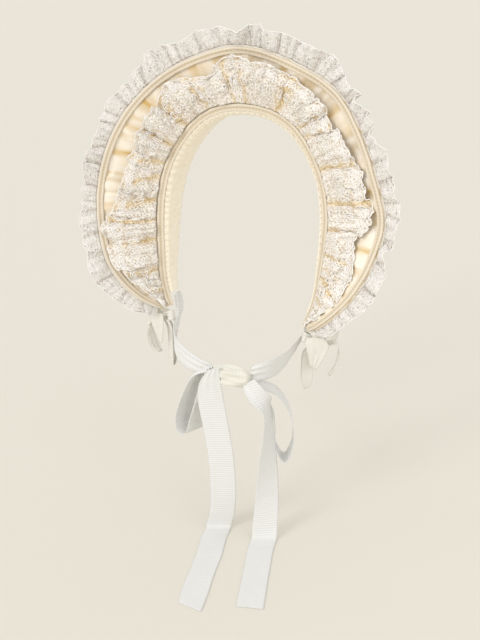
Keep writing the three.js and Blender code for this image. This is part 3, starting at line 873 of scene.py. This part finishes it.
def settled_frill(columns, rows, place, hold, grow):
    """Lets a frill crumple as cloth about its folds. Gives its new place, through a grid of points."""
    points = [[place(i / columns, j / rows) for j in range(rows + 1)] for i in range(columns + 1)]
    data = bpy.data.meshes.new("frill_cloth")
    order = [(i, j) for i in range(columns + 1) for j in range(rows + 1)]
    number = {spot: k for k, spot in enumerate(order)}
    faces = [
        (number[i, j], number[i + 1, j], number[i + 1, j + 1], number[i, j + 1])
        for i in range(columns) for j in range(rows)
    ]
    data.from_pydata([in_frame(points[i][j]) for i, j in order], [], faces)
    strip = bpy.data.objects.new("frill_cloth", data)
    bpy.context.scene.collection.objects.link(strip)
    holds = [1.0 if j == 0 else hold for i, j in order]
    moved = settle_cloth(strip, holds, grow, frames=14, stiff=8, bend=0.05)
    for (i, j), spot in zip(order, moved):
        points[i][j] = spot / MM - Vector((0, 0, SEAM_RISE))
    bpy.data.objects.remove(strip)

    def settled(x, v, lift=0.0):
        i, p = cell_of(x, columns)
        j, q = cell_of(v, rows)
        down, across = cubic_weights(p), cubic_weights(q)
        spot = Vector((0, 0, 0))
        for m in range(4):
            column = points[min(max(i - 1 + m, 0), columns)]
            for n in range(4):
                spot += column[min(max(j - 1 + n, 0), rows)] * (down[m] * across[n])
        if lift:
            face = (points[i + 1][j] - points[i][j]).cross(points[i][j + 1] - points[i][j])
            spot += face.normalized() * lift
        return spot

    return settled


# The lace starts OUTER_START past the rim and leans back. What its folds and crimps would carry it
# forward on the whole is taken off again, so that it swings to both sides.
OUTER_START = 0.75
OUTER_LEAN = 0.10
OUTER_FOLDS = uneven_folds(47, 5, 9.0, 0.7, 0.22)
OUTER_FOLDS_MIDDLE = 5.5
OUTER_CRIMPS = uneven_folds(71, 8, 2.6, 0.5)
OUTER_CRIMPS_MIDDLE = 1.3
CORNER_CALM = 0.55
CORNER_TRIM = 0.3


def outer_surface(u, v):
    """Lace standing out past the rim in uneven flutes, flatter toward the corners."""
    t = rim_t(u)
    point, out, along, front, width = brim_frame(t, 1)
    way = along_curve(RIM, t)[1].normalized()
    out = front.cross(way).normalized()
    calm = 1 - CORNER_CALM * ease(abs(2 * u - 1), 0.6, 0.9)
    slant = u + 0.006 * v * math.sin(TURN * 4.3 * u + 1)
    height, shift, valley, share = fold_at(OUTER_FOLDS, slant)
    crimp, crimp_shift = fold_at(OUTER_CRIMPS, u)[:2]
    spread = (0.12 + 0.88 * v) * calm
    uneven = 1 + 0.09 * math.cos(TURN * 5.3 * u) + 0.09 * math.sin(TURN * 13.7 * u + 0.6) * v
    trim = (1 - (1 - share) * calm) * (1 - CORNER_TRIM * ease(u, 0.86, 0.95))
    reach = along_curve(FRILL_WIDTH, t)[0].x * v * uneven * trim * (1.05 - 0.2 * valley * calm)
    reach += OUTER_START
    swing = (height - OUTER_FOLDS_MIDDLE) * spread
    swing += (crimp - OUTER_CRIMPS_MIDDLE) * (1 - 0.5 * v) * calm
    swing -= OUTER_LEAN * reach
    return point + out * reach + front * swing + way * (shift * spread + crimp_shift * 0.5)


def outer_painted_shade(x, v):
    """How deep in a valley the lace is, which darkens it with painted shade."""
    return fold_at(OUTER_FOLDS, outer_share(x))[2] ** 1.5


def outer_holes(i, j, rows):
    """Flowers of eyelets, one to each scallop, a row near the gathers and a row along the edge."""
    across = i % 5
    flower = (across, j) in {(2, 4), (1, 5), (3, 5), (2, 6), (2, 8), (0, 5), (4, 7), (0, 8)}
    return flower or (j == rows - 2 and across in (1, 3)) or (j == 2 and i % 2 == 0)


OUTER_LENGTH, outer_share = even_steps(lambda u: outer_surface(u, 0.6), 3000)
OUTER_LACE = Lace(
    length=OUTER_LENGTH, width=24, pitch=12, depth=2.6, hole=1.02, holes_at=outer_holes,
    place=settled_frill(
        480, 8, lambda x, v: outer_surface(outer_share(x), v), hold=0.06, grow=0.16
    ),
    painted_shade_of=outer_painted_shade,
)

INNER_START = 0.95
INNER_CLEAR = 4.4
INNER_CRINKLE = 0.6
INNER_FOLDS = uneven_folds(26, 11, 16.5, 0.8, 0.3)
INNER_CRIMPS = uneven_folds(47, 4, 4.0, 0.6)

# How far the free edge lies from the seam, in even steps from the wearer's right corner to the left.
LACE_REACH = [
    Vector((reach, 0, 0)) for reach in (
        12, 28, 42, 56, 60, 58, 52, 47, 46, 46, 48, 44, 62,
        53, 50, 47, 54, 60, 62, 49, 59, 58, 40, 28, 12,
    )
]


def inner_surface(u, v):
    """Wide lace gathered at the seam, over the brim in deep folds whose free edge wanders."""
    t = seam_t(u)
    width = brim_frame(t, 0)[4]
    start = (piping_width(width) + SEAM_PIPING_MARGIN + INNER_START) / width
    slant = u + 0.016 * v * math.sin(TURN * 2.3 * u + 1.2)
    height, shift, valley, share = fold_at(INNER_FOLDS, slant)
    crimp, crimp_shift = fold_at(INNER_CRIMPS, u - 0.008 * v)[:2]
    # On the wearer's left the folds lie flatter, most of all at the corner, where the lace ends short
    # of the piping.
    full = ease(u, 0.56, 0.72)
    corner = ease(u, 0.76, 0.88)
    free = width - RIM_PIPING_MARGIN - piping_width(width) + 2 - 3.2 * corner
    cover = min(along_curve(LACE_REACH, t)[0].x + 3, free)
    cover *= (1 - 0.1 * valley ** 2) * (1 - 0.4 * (1 - share)) / width
    point, out, along, front, width = brim_frame(t, start + v * (cover - start))
    spread = (0.10 + 0.90 * v ** 0.8) * min(1, width / WIDE_BRIM)
    laid = 1 - (0.35 * full + 0.5 * corner) * ease(v, 0.5, 1)
    stand = INNER_CLEAR + 0.6 * v + 0.7 * corner
    stand += height * spread * (1 - 0.3 * full - 0.2 * corner) * laid
    stand += crimp * (0.35 + 0.65 * v) * min(1, width / WIDE_BRIM) * (1 - 0.6 * corner * ease(v, 0.4, 1))
    crinkle = INNER_CRINKLE * math.sin(TURN * 83 * u + 3 * v) * (1 - v)
    slide = shift * spread + crimp_shift * 0.6 * v
    return point + front * (stand + crinkle) + along * slide


def inner_painted_shade(x, v):
    """How deep in a valley the lace is, which turns it golden with painted shade."""
    return fold_at(INNER_FOLDS, inner_share(x))[2] ** 1.3


def inner_holes(i, j, rows):
    """Net: every second corner, with solid bands near the gathers and round each fan."""
    across = (i % 10) - 5
    up = j - (rows - 6)
    ring = math.hypot(across, up)
    if 2.6 < ring < 3.6 or j in (1, 4):
        return False
    return (i + j) % 2 == 0


INNER_LENGTH, inner_share = even_steps(lambda u: inner_surface(u, 0.7), 3000)
INNER_LACE = Lace(
    length=INNER_LENGTH, width=60, pitch=24, depth=4.5, hole=0.76, holes_at=inner_holes,
    place=settled_frill(
        400, 18, lambda x, v: inner_surface(inner_share(x), v), hold=0.09, grow=0.2
    ),
    painted_shade_of=inner_painted_shade,
)

# The fans' middles and the leaves' middles lie this far from the lace's free edge.
FAN_INSET = 15
LEAF_INSET = 31
FAN_SQUASH = 0.95
FAN_LIFT = 0.45


def fan_threads(lace):
    """Raised threads: nested arcs and spokes of a fan in each scallop, and a leaf between fans."""
    lines = []
    count = int(lace.length / lace.pitch)
    spacing = lace.length / count
    base, leaf_base = lace.width - FAN_INSET, lace.width - LEAF_INSET

    def draw(points):
        lines.append([lace.place(x / lace.length, y / lace.width, FAN_LIFT) for x, y in points])

    for k in range(count):
        middle = (k + 0.5) * spacing

        def on_fan(radius, angle):
            return middle + radius * math.cos(angle), base + FAN_SQUASH * radius * math.sin(angle)

        for radius in (4.2, 7.4, 10.4):
            draw([on_fan(radius, math.radians(-25 + 230 * n / 16)) for n in range(17)])
        for degrees in range(15, 181, 30):
            draw([on_fan(r, math.radians(degrees)) for r in (1.5, 3.5, 5.5, 7.5, 9.5, 11.3)])
        for stem in (middle - 5.5, middle + 5.5):
            turns = [TURN * n / 14 for n in range(15)]
            draw([(stem + 3.4 * math.cos(a), leaf_base + 6.5 * math.sin(a)) for a in turns])
            draw([(stem, leaf_base - 7 + 2.3 * n) for n in range(7)])
    return lines


def make_frills(lace_white, lace_cream, thread_white):
    slot = "eyelet_lace"
    outer = OUTER_LACE.make("outer_lace", lace_white, slot, "outer_frill")
    loops = [OUTER_LACE.edge(rise=1.1, spacing=3.0)]
    picots = threads("outer_lace_picots", loops, 0.5, thread_white, slot)
    rims = threads("outer_lace_rims", OUTER_LACE.rims(), 0.3, thread_white, slot)
    slot = "embroidered_lace"
    inner = INNER_LACE.make("inner_lace", lace_cream, slot, "inner_frill")
    loops = [INNER_LACE.edge(rise=1.3, spacing=3.4)]
    edging = threads("inner_lace_picots", loops, 0.6, thread_white, slot)
    fans = threads("inner_lace_fans", fan_threads(INNER_LACE), 0.6, thread_white, slot)


# Ribbons

RIB_SPACING = 2.6
RIB_DEPTH = 0.13
RIBBON_THICKNESS = 0.7
RIBBON_ROWS = 16
SATIN_STEP = 1.2
CRUSH_FOLDS = 3
KNOT_STEPS = 48
KNOT_SIDES = 64


def ribbon_maker(rows, full_width, ribbed, crushed):
    """Length and place of a ribbon. Where its row is narrower than the ribbon, it is crushed in folds."""
    centres = [Vector(row[:3]) for row in rows]
    sizes = [Vector(row[3:]) for row in rows]
    length, t_at = even_steps(lambda t: along_curve(centres, t)[0], 600)

    def place(u, v):
        t = t_at(u)
        centre, way = along_curve(centres, t)
        width, turn, tip = along_curve(sizes, t)[0]
        flat = math.cos(math.radians(tip))
        across = Vector((
            math.cos(math.radians(turn)) * flat, math.sin(math.radians(turn)) * flat,
            math.sin(math.radians(tip)),
        ))
        lift = way.normalized().cross(across).normalized()
        spare = max((full_width / width) ** 2 - 1, 0)
        crush = crushed * width * math.sqrt(2 * spare) / (TURN * CRUSH_FOLDS)
        side = v - 0.5
        edge = 1 - ease(abs(side), 0.43, 0.47)
        rib = RIB_DEPTH * math.cos(TURN * length * u / RIB_SPACING) * edge if ribbed else 0
        wave = crush * math.cos(TURN * CRUSH_FOLDS * v + 1.2 * u)
        return centre + across * side * width + lift * (wave + rib)

    return length, place


def make_ribbon(name, node, rows, full_width, material, slot, ribbed=True, crushed=1.0):
    length, place = ribbon_maker(rows, full_width, ribbed, crushed)
    step = RIB_SPACING / 4 if ribbed else SATIN_STEP
    mesh = flat_grid(max(8, round(length / step)), RIBBON_ROWS, length, full_width)
    hang(mesh, length, full_width, place)
    piece = finish_piece(name, mesh, material, slot, [node])
    thicken(piece, RIBBON_THICKNESS)
    return piece


def make_knot(name, node, centre, wide, deep, high, creases, material, slot):
    """A ribbon drawn tight: a puffed lump whose creases run along it."""
    middle = Vector(centre)

    def place(u, a):
        x = -math.cos(math.pi * u)
        full = math.sin(math.pi * u) ** 0.42
        angle = TURN * a
        crease = 1 + 0.17 * math.cos(creases * angle + 2.4 * x) + 0.08 * math.cos(2 * creases * angle - x)
        r = full * crease
        return middle + Vector((x * wide, r * math.cos(angle) * deep, r * math.sin(angle) * high))

    mesh = tube(KNOT_STEPS, KNOT_SIDES, place, closed_ends=False)
    piece = finish_piece(name, mesh, material, slot, [node])
    scale_uv(piece, 2 * wide, TURN * high)
    return piece


def mirrored(rows):
    """The same ribbon on the other side."""
    return [(-x, y, z, width, -turn, -tip) for x, y, z, width, turn, tip in rows]


def drooped(rows):
    """The ribbon with its outer side lower."""
    root = abs(rows[0][0])
    return [
        (x, y, z - OUTER_SIDE_FALL * max(0, abs(x) - root), width, turn, tip)
        for x, y, z, width, turn, tip in rows
    ]


def make_ribbons(ribbed, drawn, satin):
    for name, rows, held in (
        ("left_tie", LEFT_TIE, "hung"), ("right_tie", RIGHT_TIE, "hung"),
        ("left_tail", LEFT_TAIL, "hung"), ("right_tail", RIGHT_TAIL, "hung"),
        ("left_chin_loop", LEFT_CHIN_LOOP, "folded"), ("right_chin_loop", RIGHT_CHIN_LOOP, "folded"),
    ):
        crushed = 0.3 if name.endswith("tail") else 0.7
        make_ribbon(name + "_ribbon", name, rows, RIBBON_WIDTH, ribbed, "ribbon", crushed=crushed)
    make_knot("chin_knot_wrap", "chin_knot", **CHIN_KNOT, creases=5, material=drawn, slot="ribbon")
    for side in ("left", "right"):
        right = side == "right"
        for part, rows, falls in (
            ("inner_loop", BOW_INNER_LOOP, False), ("outer_loop", BOW_OUTER_LOOP, True),
            ("hanging_loop", BOW_HANGING_LOOP, False), ("front_tail", BOW_FRONT_TAIL, False),
            ("thin_tail", BOW_THIN_TAIL, True),
        ):
            turned = mirrored(rows) if right else rows
            hung = drooped(turned) if right and falls else turned
            node = f"{side}_bow_{part}"
            full = max(row[3] for row in rows)
            make_ribbon(
                node + "_ribbon", node, hung, full, satin, "satin", ribbed=False,
                crushed=0.3 if part in ("front_tail", "hanging_loop") else 1.0,
            )
        x, y, z = BOW_KNOT["centre"]
        knot = {**BOW_KNOT, "centre": (-x if right else x, y, z)}
        make_knot(
            f"{side}_bow_knot_wrap", f"{side}_bow_knot", **knot, creases=4, material=satin, slot="satin"
        )


# Stage

def make_stage():
    """A plain floor of matt painted board, level with the table under the ribbons' tails."""
    mesh = bmesh.new()
    bmesh.ops.create_circle(mesh, cap_ends=True, segments=96, radius=40)
    data = bpy.data.meshes.new("floor")
    mesh.to_mesh(data)
    mesh.free()
    data.transform(Matrix.Translation((0, 0, TABLE_Z)))
    floor = bpy.data.objects.new("floor", data)
    bpy.context.scene.collection.objects.link(floor)
    board = new_material("painted_board", Base_Color=colour("#E1DCD1"), Roughness=0.8)[0]
    data.materials.append(board)


def new_lamp(name, kind, energy, way, place=(0, 0, 0)):
    data = bpy.data.lights.new(name, kind)
    data.energy = energy
    lamp = bpy.data.objects.new(name, data)
    lamp.location = place
    lamp.rotation_euler = Vector(way).to_track_quat("-Z", "Y").to_euler()
    bpy.context.scene.collection.objects.link(lamp)
    return data


def make_light():
    """Soft studio light: bright all round, a broad key from the front and a weak fill from the side."""
    world = bpy.data.worlds.new("studio")
    world.use_nodes = True
    world.node_tree.nodes["Background"].inputs["Color"].default_value = colour("#FAF9F7")
    bpy.context.scene.world = world
    key = new_lamp("key", "SUN", 0.9, way=(0.5, 1.7, -0.8))
    key.angle = math.radians(22)
    fill = new_lamp("fill", "AREA", 4, way=(-1.9, 1.5, -0.5), place=(1.9, -1.5, 0.4))
    fill.shape = "DISK"
    fill.size = 1.2
    bpy.context.scene.view_settings.view_transform = "Standard"


def make_camera():
    """At the photo's place, 26 degrees to the wearer's left and looking 19 degrees down."""
    data = bpy.data.cameras.new("camera")
    data.lens = 61.9
    data.clip_end = 100
    camera = bpy.data.objects.new("camera", data)
    camera.location = (0.5166, -1.0951, 0.1781)
    camera.rotation_euler = (math.radians(71), 0, math.radians(26))
    bpy.context.scene.collection.objects.link(camera)
    bpy.context.scene.camera = camera


make_camera()
make_stage()
make_light()
make_brim(cotton_sateen())
make_band(plain_cotton("band_cotton", "#FAF3E4", "#F1E6CC", 1.0))
make_pipings(corded_cotton(), spun_thread("stitch_thread", "#E2D6C1", "#D2C3A8"))
make_frills(
    lace_cotton("eyelet_cotton", "#E8E5E1", "#D6CFC7", "#C0B6AA", "#A99D91", "#9C938A", 2.2, 0.1),
    lace_cotton("embroidery_cotton", "#F5F1EB", "#DCCFBF", "#E6CF9F", "#C4A261", "#C9B48C", 2.3, 0.14),
    spun_thread("lace_thread", "#FCFBF9", "#EAE4DE"),
)
make_ribbons(
    grosgrain("grosgrain", "#E9E9E7", "#DCDCD8", 0.5),
    # The knot's grosgrain is a darker, warmer copy of the ribbon's, with flatter ribs: the darker colour
    # is painted shade, as under a chin.
    grosgrain("drawn_grosgrain", "#E2E0D6", "#DEDCD0", 0.08), satin_ribbon(),
)
